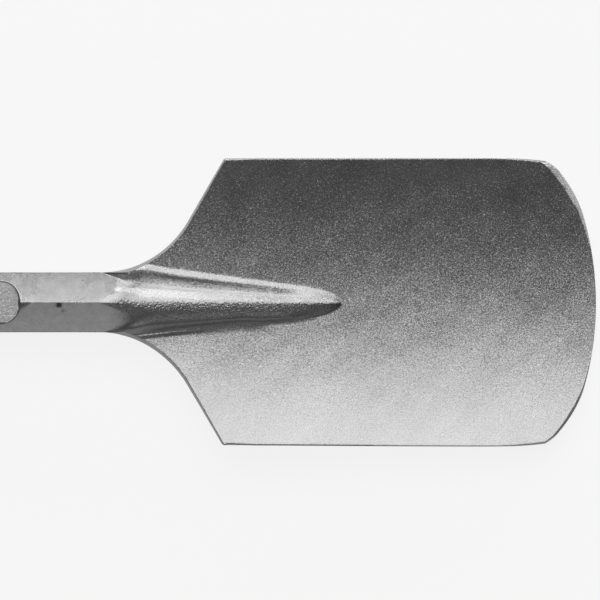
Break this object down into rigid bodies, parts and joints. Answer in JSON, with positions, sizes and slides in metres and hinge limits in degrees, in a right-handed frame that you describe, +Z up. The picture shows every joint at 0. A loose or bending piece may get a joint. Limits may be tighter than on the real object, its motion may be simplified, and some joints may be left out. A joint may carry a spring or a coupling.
{
  "type": "spade chisel",
  "caption": "Forged spade chisel for a breaker hammer: hexagon shank with a retaining notch, a spine running out onto a dished blade, and a curved ground cutting edge.",
  "frame": {"origin": "middle of the striking face, on the shank's axis", "axes": "+X along the tool to the cutting edge, +Y across the blade, +Z up through the hollow face; the tool lies on its back"},
  "size_m": [0.4, 0.135, 0.0325],
  "materials": {
    "forged_steel": "bare forged steel, blasted matt grey, smoother on the shank's flats"
  },
  "bodies": {
    "root": {"spade_chisel": "forged_steel"}
  },
  "joints": []
}
